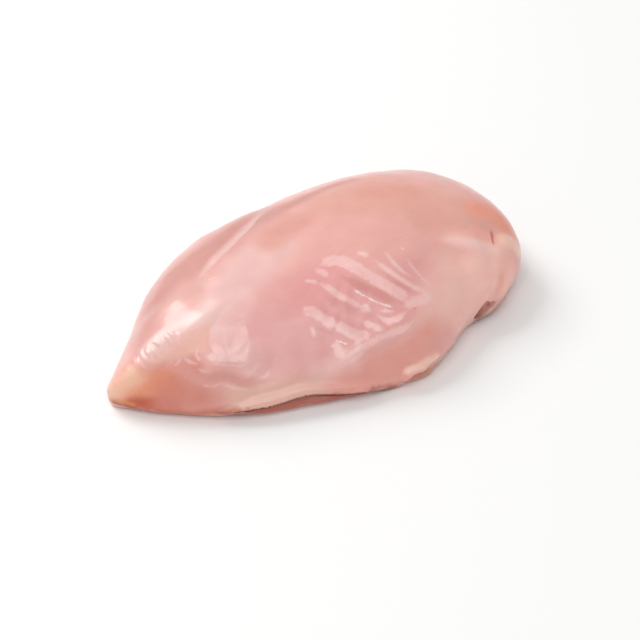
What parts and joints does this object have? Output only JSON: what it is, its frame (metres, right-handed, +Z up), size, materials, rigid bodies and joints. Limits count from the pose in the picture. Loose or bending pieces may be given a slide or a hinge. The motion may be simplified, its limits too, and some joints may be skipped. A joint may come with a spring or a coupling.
{
  "type": "raw boneless chicken breast",
  "caption": "Raw boneless, skinless chicken breast lying smooth side up, tapering from a thick rounded shoulder end to a thin pointed tip.",
  "frame": {"origin": "on the surface the breast rests on, under the middle of its bounding box", "axes": "+X along the breast, from its narrow tip to its thick shoulder end; +Y from the front edge, with the undercut lip, to the back edge; +Z up"},
  "size_m": [0.172, 0.1, 0.034],
  "materials": {
    "raw_meat": "moist and softly glossy pale pink, with cream and orange tints at the edges and the tip"
  },
  "bodies": {
    "root": {"chicken_breast": "raw_meat"}
  },
  "joints": []
}
